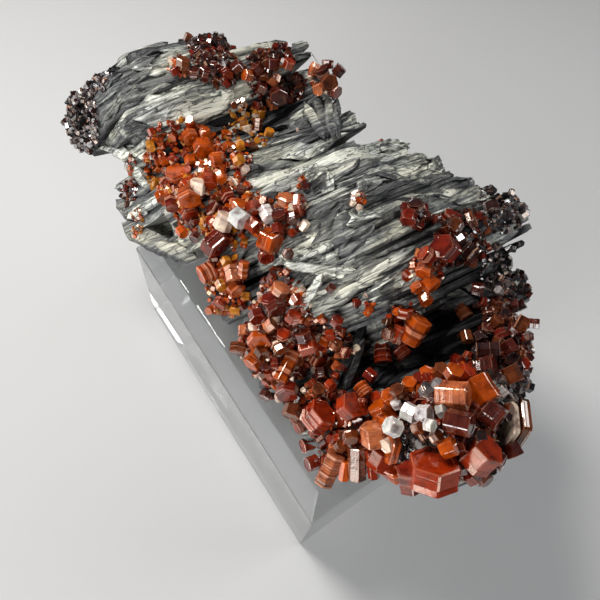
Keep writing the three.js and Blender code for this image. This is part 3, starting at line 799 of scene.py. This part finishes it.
def add_leaf(shape, row, facing=PLATE_RISE, tree=None):
    """A long flat crystal with blunt ends and bevelled rims, draped if a tree is given."""
    x, y, z, length, width, thickness, turn, tilt, roll, tone = row
    along = unit(turn, tilt)
    side = facing.cross(along).normalized()
    side = Matrix.Rotation(math.radians(roll), 3, along) @ side
    face = along.cross(side)
    stations = 9
    outline = []
    for k in range(stations + 1):
        share = 2 * k / stations - 1
        wide = (1 - abs(share) ** 3.5) ** 0.8 * rng.uniform(0.8, 1.1)
        outline.append((share * length / 2, wide * width / 2))
    ring = outline + [(a, -b) for a, b in outline[-2:0:-1]]
    count = len(ring)
    points = []
    values = []
    # Painted light on the face turned along facing and painted shade on the far face; the rim between
    # is darker still
    for lift, inset, shade in ((-0.5, 0.6, 0.7), (0, 1, 0.55), (0.5, 0.6, 1.1)):
        for a, b in ring:
            bend = -0.04 * a * a / length
            place = Vector((x, y, z)) + along * a * (0.9 + 0.1 * inset)
            place += side * b * inset + face * (lift * thickness + bend)
            if tree:
                place = draped(place, tree)
            points.append(place)
            values.append(min(1.0, tone * shade * rng.uniform(0.92, 1.08)))
    faces = [tuple(range(count))[::-1], tuple(range(2 * count, 3 * count))]
    for k in range(count):
        after = (k + 1) % count
        for level in (0, count):
            faces.append((level + k, level + after, level + count + after, level + count + k))
    shape.add(points, faces, values)


def scattered_leaves(shape, tree, low, high, count):
    """Loose leaves lying on the matrix, roughly along the plates."""
    above = 20
    clear_of_seat = 3
    made = 0
    while made < count:
        start = Vector([rng.uniform(low[k], high[k]) for k in range(3)])
        start.z = high.z + above
        way = Vector((rng.uniform(-0.5, 0.5), rng.uniform(-0.6, 0.6), -1)).normalized()
        spot, normal, _, _ = tree.ray_cast(start, way)
        if spot is None or spot.z < SEAT + clear_of_seat:
            continue
        heading = PLATE_RUN - normal * PLATE_RUN.dot(normal)
        if heading.length < 0.3:
            continue
        heading.normalize()
        turn = math.degrees(math.atan2(heading.y, heading.x)) + rng.normal(0, 9)
        tilt = math.degrees(math.asin(heading.z)) + rng.normal(0, 5)
        tone = 0.34 + 0.36 * rng.random()
        if rng.random() < PALE_SHARE:
            tone = PALE_TONE
        # The dark zones take the tone away, as dark barite and as painted shade in the cavity and
        # between crystals
        tone *= 1 - DARKENING * dark_and_shade_share(spot)
        length = rng.uniform(7, 24)
        width = rng.uniform(1.4, 4.2)
        roll = rng.uniform(-25, 25)
        thickness = rng.uniform(0.4, 0.8)
        row = (*spot, length, width, thickness, turn, tilt, roll, tone)
        add_leaf(shape, row, normal, tree)
        made += 1


# Vanadinite


def crystal_profile(radius, height, bevel, layers):
    """Places along a crystal's axis and its width at each: bevelled ends, grooves
    between its layers, and a stepped end face."""
    half = height / 2
    groove = 0.012 * radius
    profile = [(-half, 0.75), (-half, 1 - bevel / radius), (bevel - half, 1)]
    for k in range(1, layers):
        at = bevel - half + (height - 2 * bevel) * (k + rng.uniform(-0.3, 0.3)) / layers
        below, above = rng.uniform(0.96, 1.0, 2)
        profile += [(at - groove, below), (at, min(below, above) - 0.02), (at + groove, above)]
    profile += [(half - bevel, 1), (half, 1 - bevel / radius)]
    if layers:
        terrace = rng.uniform(0.6, 0.88)
        drop = rng.choice([-0.05, 0.03]) * radius
        profile += [(half, terrace), (half + drop, terrace - 0.04)]
    return profile


def add_crystal(shape, centre, axis, radius, height, color, layers, stripes=1):
    """A hexagonal prism, its corners cut and its sides grooved where it has layers."""
    axis = axis.normalized()
    across = axis.orthogonal().normalized()
    across = Matrix.Rotation(rng.uniform(0, math.pi), 3, axis) @ across
    beside = axis.cross(across)
    stretch = rng.uniform(0.9, 1.0, 6)
    bevel = min(0.06 * radius, 0.12 * height)
    half = height / 2
    profile = crystal_profile(radius, height, bevel, layers)
    level = rng.uniform(0.85, 1.1)
    color = [min(1.0, c * level * rng.uniform(0.97, 1.03)) for c in color]
    seed = rng.random() * stripes
    cuts = (-3, 3) if layers else (0,)
    corners = 6 * len(cuts)
    points = []
    values = []
    for at, wide in profile:
        side = 0 if abs(at) > half - 0.5 * bevel else 1
        if layers and abs(at) > 0.9 * half and wide < 0.9:
            side = 0
        for k in range(corners):
            corner, end = divmod(k, len(cuts))
            angle = math.radians(60 * corner + cuts[end])
            size = radius * wide * stretch[corner]
            point = across * math.cos(angle) + beside * math.sin(angle)
            points.append(centre + point * size + axis * at)
            values.append([*color, 1, at, side, seed])
    last = (len(profile) - 1) * corners
    faces = [tuple(range(corners))[::-1], tuple(last + k for k in range(corners))]
    for a in range(0, last, corners):
        b = a + corners
        for k in range(corners):
            after = (k + 1) % corners
            faces.append((a + k, a + after, b + after, b + k))
    shape.add(points, faces, values)


def pick_color(palette):
    """One of a palette's colours."""
    names = PALETTES[palette]
    return COLORS[names[int(rng.integers(0, len(names)))]]


def nearest_node(point, boxes):
    """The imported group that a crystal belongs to: the one whose box is nearest."""

    def apart(name):
        low, high = boxes[name]
        gap = [max(low[k] - point[k], point[k] - high[k], 0) for k in range(3)]
        return sum(g * g for g in gap)

    return min(boxes, key=apart)


def add_placed_crystals(shapes, boxes, tree):
    """The crystals placed one by one. Returns the stems that some of them need: the
    shape, the crystal's centre, a spot on the matrix and the stem's radius."""
    stems = []
    for group, rows in CRYSTALS.items():
        palette = GROUP_PALETTES.get(group, "russet")
        crest = group == "crest_crystals"
        for x, y, z, radius, height, turn, tilt, *own in rows:
            centre = Vector((x, y, z))
            color = COLORS[own[0]] if own else pick_color(palette)
            plain = rng.random() < PLAIN_SHARE or crest or radius <= LAYERED_RADIUS
            layers = FEW_LAYERS
            if not plain:
                layers = int(np.clip(round(height / LAYER_HEIGHT), FEW_LAYERS, MOST_LAYERS))
            target = shapes[nearest_node(centre, boxes)]
            # The crest's crystals get fewer painted stripes of glint and shade
            stripes = 0.6 if crest else 1
            add_crystal(target, centre, unit(turn, tilt), radius, height, color, layers, stripes)
            size = min(radius, 0.5 * height)
            spot, _, _, apart = tree.find_nearest(centre)
            if apart > STEM_GAP * size:
                below, _, _, deep = tree.ray_cast(centre, DROP)
                if below is not None and deep < apart + STEM_REACH:
                    spot = below
                stems.append((target, centre, spot, STEM_SIZE * size))
    return stems


def add_crowd(crowd, shapes, boxes, tree):
    """Small crystals dropped onto the matrix within a crowd's circle."""
    x, y, z, spread, count, smallest, largest, palette = crowd
    middle = Vector((x, y, z))
    sideways = DROP.orthogonal().normalized()
    beside = DROP.cross(sideways)
    for _ in range(round(CROWD_SHARE * count)):
        away = spread * math.sqrt(rng.random())
        angle = rng.uniform(0, 2 * math.pi)
        start = middle + sideways * away * math.cos(angle)
        start += beside * away * math.sin(angle)
        spot, normal, _, _ = tree.ray_cast(start - DROP * DROP_HEIGHT, DROP)
        if spot is None or spot.z < SEAT + 1 or (spot - start).length > DROP_REACH:
            continue
        if palette != "coal" and hollow_depth(spot) > DROP_DEPTH:
            continue
        radius = smallest + (largest - smallest) * rng.random() ** 3
        height = radius * rng.uniform(0.9, 2.2)
        axis = 0.15 * normal + Vector(rng.normal(0, 0.8, 3))
        centre = spot + normal * 0.2 * height
        layers = 2 if radius > LAYERED_CROWD_RADIUS else 0
        target = shapes[nearest_node(spot, boxes)]
        add_crystal(target, centre, axis, radius, height, pick_color(palette), layers)


def crystals(matrix):
    """Every vanadinite crystal, sorted into one shape for each packed group."""
    names = [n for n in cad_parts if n.startswith("vanadinite_")]
    boxes = {}
    for name in names:
        low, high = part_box(name)
        boxes[name] = (low / MM, high / MM)
    shapes = {name: Shape() for name in names}
    tree = matrix.tree()
    stems = add_placed_crystals(shapes, boxes, tree)
    for crowd in CROWDS:
        add_crowd(crowd, shapes, boxes, tree)
    for target, centre, spot, radius in stems:
        way = spot - centre
        height = way.length + STEM_END
        add_crystal(target, centre + 0.5 * way, way, radius, height, COLORS["wine"], 0)
    return shapes


# The display block


def display_block():
    """A clear block: bevelled upper edges, and a fine bevel on every edge."""
    rim = BLOCK_HEIGHT - BLOCK_BEVEL
    mesh = bpy.data.meshes.new("clear_block")
    points = []
    for z, inset in ((0, 0), (rim, 0), (BLOCK_HEIGHT, BLOCK_BEVEL)):
        x = (BLOCK_LENGTH / 2 - inset) * MM
        y = (BLOCK_WIDTH / 2 - inset) * MM
        points += [(-x, -y, z * MM), (x, -y, z * MM), (x, y, z * MM), (-x, y, z * MM)]
    faces = [(3, 2, 1, 0), (8, 9, 10, 11)]
    for level in (0, 4):
        for k in range(4):
            after = (k + 1) % 4
            faces.append((level + k, level + after, level + 4 + after, level + 4 + k))
    mesh.from_pydata(points, [], faces)
    mesh.update()
    block = new_object("clear_block", mesh)
    bevel = block.modifiers.new("fine edges", "BEVEL")
    bevel.width = BLOCK_EDGE * MM
    bevel.segments = 3
    bevel.limit_method = "ANGLE"
    bevel.angle_limit = math.radians(20)
    return block


# Materials


class Nodes:
    """Short calls for building a material's node tree."""

    def __init__(self, name):
        self.material = bpy.data.materials.new(name)
        self.material.use_nodes = True
        self.tree = self.material.node_tree

    def fill(self, sockets, values):
        """Set each socket, or link it where its value is another node's output."""
        for key, value in values.items():
            if isinstance(value, bpy.types.NodeSocket):
                self.tree.links.new(value, sockets[key])
            else:
                sockets[key].default_value = value

    def node(self, kind, inputs=None, **settings):
        made = self.tree.nodes.new(kind)
        for key, value in settings.items():
            setattr(made, key, value)
        self.fill(made.inputs, inputs or {})
        return made

    def math(self, operation, a, b):
        return self.node("ShaderNodeMath", {0: a, 1: b}, operation=operation).outputs[0]

    def add(self, a, b):
        return self.math("ADD", a, b)

    def less(self, a, b):
        return self.math("SUBTRACT", a, b)

    def times(self, a, b):
        return self.math("MULTIPLY", a, b)

    def mix(self, fac, a, b, blend="MIX"):
        made = self.node("ShaderNodeMix", {0: fac, 6: a, 7: b}, data_type="RGBA", blend_type=blend)
        return made.outputs[2]

    def ramp(self, fac, stops):
        """Colours, or greys where one number is given, between the stops of a factor."""
        made = self.node("ShaderNodeValToRGB", {0: fac})
        elements = made.color_ramp.elements
        while len(elements) < len(stops):
            elements.new(0.5)
        for element, (position, color) in zip(elements, stops):
            element.position = position
            element.color = (*color, 1) if isinstance(color, tuple) else (color,) * 3 + (1,)
        return made.outputs[0]

    def noise(self, vector, scale, detail, roughness, output=0):
        inputs = {"Vector": vector, "Scale": scale, "Detail": detail, "Roughness": roughness}
        return self.node("ShaderNodeTexNoise", inputs).outputs[output]

    def bump(self, height, strength, distance):
        inputs = {"Height": height, "Strength": strength, "Distance": distance * MM}
        return self.node("ShaderNodeBump", inputs).outputs[0]

    def finished(self, surface):
        """The material, its surface set to the values given."""
        self.fill(self.tree.nodes["Principled BSDF"].inputs, surface)
        return self.material


def plate_coordinates(nodes, *scales):
    """Object coordinates turned to the plates, and scaled along, up and across them."""
    place = nodes.node("ShaderNodeTexCoord").outputs["Object"]
    parts = []
    for way, scale in zip((PLATE_RUN, PLATE_RISE, PLATE_ACROSS), scales):
        vector = tuple(c * scale / MM for c in way)
        dot = nodes.node("ShaderNodeVectorMath", {0: place, 1: vector}, operation="DOT_PRODUCT")
        parts.append(dot.outputs["Value"])
    return nodes.node("ShaderNodeCombineXYZ", dict(zip("XYZ", parts))).outputs[0]


def barite_material():
    """Grey and white plates: lines along them, ledges with a painted shadow below and a painted
    highlight at the edge, clouds and grains over them.
    """
    nodes = Nodes("barite")
    tone = nodes.node("ShaderNodeAttribute", attribute_name="tone").outputs["Fac"]
    lines = nodes.noise(plate_coordinates(nodes, 0.1, 0.5, 1.8), 1.0, 5.0, 0.65)
    clouds = nodes.noise(plate_coordinates(nodes, 0.05, 0.1, 0.16), 1.0, 3.0, 0.5)
    grains = nodes.noise(plate_coordinates(nodes, 2.2, 2.2, 3.2), 1.0, 4.0, 0.5)
    drift = nodes.noise(plate_coordinates(nodes, 0.05, 0.07, 0.07), 1.0, 2.0, 0.5, "Color")
    pushed = nodes.node("ShaderNodeVectorMath", {0: drift, "Scale": 2.4}, operation="SCALE")
    inputs = {0: plate_coordinates(nodes, 0.05, 0.13, 0.3), 1: pushed.outputs[0]}
    place = nodes.node("ShaderNodeVectorMath", inputs, operation="ADD").outputs[0]
    field = nodes.noise(place, 1.0, 3.0, 0.55)
    # Terraces along the plates: a painted shadow line below each ledge, and a painted highlight
    # rising to its edge
    steps = nodes.math("FRACT", nodes.times(field, 7.0), 0.0)
    ledge_shadow_and_highlight = nodes.ramp(steps, [(0.0, 0.14), (0.06, 0.55), (0.25, 1), (1, 1.1)])
    gain = 1.0
    for value, middle, strength in ((lines, 0.5, 2.7), (clouds, 0.53, 2.4), (grains, 0.5, 0.5)):
        gain = nodes.add(gain, nodes.times(nodes.less(value, middle), strength))
    shade = nodes.times(nodes.times(tone, gain), ledge_shadow_and_highlight)
    stops = [
        (0.06, (0.004, 0.004, 0.005)),
        (0.2, (0.022, 0.022, 0.024)),
        (0.38, (0.09, 0.09, 0.088)),
        (0.56, (0.23, 0.23, 0.205)),
        (0.75, (0.45, 0.44, 0.385)),
        (1.0, (0.8, 0.79, 0.73)),
    ]
    warm = nodes.ramp(clouds, [(0.4, (0.93, 0.98, 1.0)), (0.62, (0.99, 0.99, 0.9))])
    height = nodes.add(lines, nodes.times(grains, 0.4))
    height = nodes.add(height, nodes.times(steps, 0.6))
    surface = {
        "Base Color": nodes.mix(1.0, nodes.ramp(shade, stops), warm, "MULTIPLY"),
        # The specular falls with the tone, so the dark barite and the painted shade reflect little
        "Specular IOR Level": nodes.ramp(tone, [(0.05, 0.04), (0.3, 0.5)]),
        "Roughness": nodes.add(0.25, nodes.times(grains, 0.45)),
        "IOR": 1.64,
        "Normal": nodes.bump(height, 0.8, 0.4),
    }
    return nodes.finished(surface)


def vanadinite_material():
    """Deep orange-red end faces, and sides in stripes across the axis: pale stripes of painted glint,
    dark stripes of painted shade, and a painted highlight on the edges.
    """
    nodes = Nodes("vanadinite")
    tint = nodes.node("ShaderNodeAttribute", attribute_name="tint").outputs["Color"]
    band = nodes.node("ShaderNodeAttribute", attribute_name="band").outputs["Vector"]
    along, side, seed = nodes.node("ShaderNodeSeparateXYZ", {0: band}).outputs
    where = nodes.add(along, nodes.times(seed, 90.0))
    inputs = {"W": where, "Scale": 1.0, "Detail": 3.0, "Roughness": 0.7}
    stripes = nodes.node("ShaderNodeTexNoise", inputs, noise_dimensions="1D").outputs[0]
    place = nodes.node("ShaderNodeTexCoord").outputs["Object"]
    cloud = nodes.noise(place, 420.0, 3.0, 0.65)
    fine = nodes.noise(place, 3200.0, 3.0, 0.5)
    stops = [
        (0.3, (0.32, 0.25, 0.25)),
        (0.48, (0.9, 0.9, 0.9)),
        (0.62, (1.15, 1.2, 1.1)),
        (0.8, (1.6, 2.2, 2.0)),
    ]
    color = nodes.mix(1.0, tint, nodes.ramp(cloud, stops), "MULTIPLY")
    # Painted shade: dark stripes across the sides, where layers would miss the light
    shade_stripes = nodes.ramp(stripes, [(0.37, (0.36, 0.26, 0.26)), (0.47, (0.95, 0.95, 0.95))])
    striped = nodes.times(side, nodes.ramp(seed, [(0.35, 0.25), (0.7, 1)]))
    color = nodes.mix(striped, color, nodes.mix(1.0, color, shade_stripes, "MULTIPLY"))
    # Painted glints: pale stripes across the sides, where layers would reflect a light
    pale = nodes.times(side, nodes.ramp(stripes, [(0.54, 0), (0.64, 1)]))
    pale = nodes.times(pale, nodes.ramp(seed, [(0.45, 0.02), (0.95, 0.75)]))
    color = nodes.mix(pale, color, (0.62, 0.34, 0.22, 1))
    # A painted highlight along each crystal's edges
    edge = nodes.times(side, nodes.less(1.0, side))
    color = nodes.mix(nodes.times(edge, 1.2), color, (0.55, 0.2, 0.1, 1))
    height = nodes.add(nodes.times(cloud, 0.5), nodes.times(fine, 0.3))
    height = nodes.add(height, nodes.times(stripes, nodes.times(striped, 1.4)))
    surface = {
        "Base Color": color,
        "Roughness": nodes.add(0.03, nodes.times(fine, 0.14)),
        "IOR": 2.0,
        "Specular Tint": nodes.ramp(tint, [(0.02, (1, 1, 1)), (0.05, (1, 0.8, 0.66))]),
        "Subsurface Weight": 0.06,
        "Subsurface Radius": (1.0, 0.25, 0.08),
        "Subsurface Scale": 1.0 * MM,
        "Normal": nodes.bump(height, 0.4, 0.12),
    }
    return nodes.finished(surface)


def acrylic_material():
    """Clear, with a few faint smudges and a slight white haze, which is partly painted light
    brightening the block.
    """
    nodes = Nodes("clear acrylic")
    place = nodes.node("ShaderNodeTexCoord").outputs["Object"]
    smudge = nodes.less(nodes.noise(place, 60.0, 4.0, 0.5), 0.5)
    surface = {
        "Base Color": (0.97, 0.985, 0.98, 1),
        "Roughness": nodes.times(nodes.math("MAXIMUM", smudge, 0.0), 0.12),
        # A share of diffuse white: haze, and painted light for the light passing through the block
        "Transmission Weight": 0.94,
        "IOR": 1.49,
    }
    return nodes.finished(surface)


# Pieces

barite = Shape()
low_corner, high_corner = barite_leaves(barite)
matrix_tree = barite.tree()
scattered_leaves(barite, matrix_tree, low_corner, high_corner, LOOSE_LEAVES)
for leaf in LEAVES:
    add_leaf(barite, leaf, tree=matrix_tree)
for blade in BLADES:
    add_leaf(barite, blade)
matrix = make_object("barite_leaves", barite, [("tone", "FLOAT", 0, 1)])
matrix.data.materials.append(barite_material())
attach(matrix, "root")
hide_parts("barite_matrix")

red = vanadinite_material()
for node_name, shape in crystals(barite).items():
    piece_name = node_name.replace("vanadinite", "crystals")
    columns = [("tint", "FLOAT_COLOR", 0, 4), ("band", "FLOAT_VECTOR", 4, 7)]
    piece = make_object(piece_name, shape, columns)
    piece.data.materials.append(red)
    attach(piece, "root")
    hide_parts(node_name)

block = display_block()
block.data.materials.append(acrylic_material())
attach(block, "root")
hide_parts("display_block")

# Floor, light and camera


def area_light(name, place, size, power, color):
    """A soft rectangular light that faces the specimen."""
    data = bpy.data.lights.new(name, "AREA")
    data.shape = "RECTANGLE"
    data.size = size[0] * MM
    data.size_y = size[1] * MM
    data.energy = power
    data.color = color
    light = new_object(name, data)
    light.location = Vector(place) * MM
    aim = Vector(LIGHT_TARGET) * MM - light.location
    light.rotation_mode = "QUATERNION"
    light.rotation_quaternion = aim.to_track_quat("-Z", "Y")


def floor():
    """A wide level sheet, just below the block."""
    half = FLOOR_REACH * MM
    low = -FLOOR_GAP * MM
    mesh = bpy.data.meshes.new("floor")
    corners = [(-half, -half, low), (half, -half, low), (half, half, low), (-half, half, low)]
    mesh.from_pydata(corners, [], [(0, 1, 2, 3)])
    surface = {"Base Color": (0.52, 0.52, 0.52, 1), "Roughness": 0.6}
    mesh.materials.append(Nodes("pale floor").finished(surface))
    return new_object("floor", mesh)


floor()
area_light("key", (-250, -80, 420), (150, 150), 2.2, (1, 0.98, 0.95))
area_light("side", (120, -380, 190), (120, 320), 0.85, (1, 1, 1))
area_light("front", (330, -260, 70), (260, 100), 0.45, (1, 1, 1))
area_light("low left", (-150, -330, 60), (600, 150), 0.85, (1, 1, 1))
area_light("back", (160, 360, 300), (260, 160), 0.75, (0.96, 0.98, 1))

world = bpy.data.worlds.new("studio")
world.use_nodes = True
world.node_tree.nodes["Background"].inputs[0].default_value = (0.9, 0.93, 1, 1)
world.node_tree.nodes["Background"].inputs[1].default_value = 0.05
bpy.context.scene.world = world
bpy.context.scene.view_settings.view_transform = "Standard"

camera_data = bpy.data.cameras.new("camera")
camera_data.lens = CAMERA_LENS
camera_data.sensor_width = 36
camera_data.clip_start = 0.005
camera_data.clip_end = 20
camera = new_object("camera", camera_data)
right = CAMERA_RIGHT.normalized()
up = -(CAMERA_DOWN - right * CAMERA_DOWN.dot(right)).normalized()
turned = Matrix((right, up, right.cross(up))).transposed()
camera.matrix_world = Matrix.Translation(CAMERA_PLACE * MM) @ turned.to_4x4()
bpy.context.scene.camera = camera
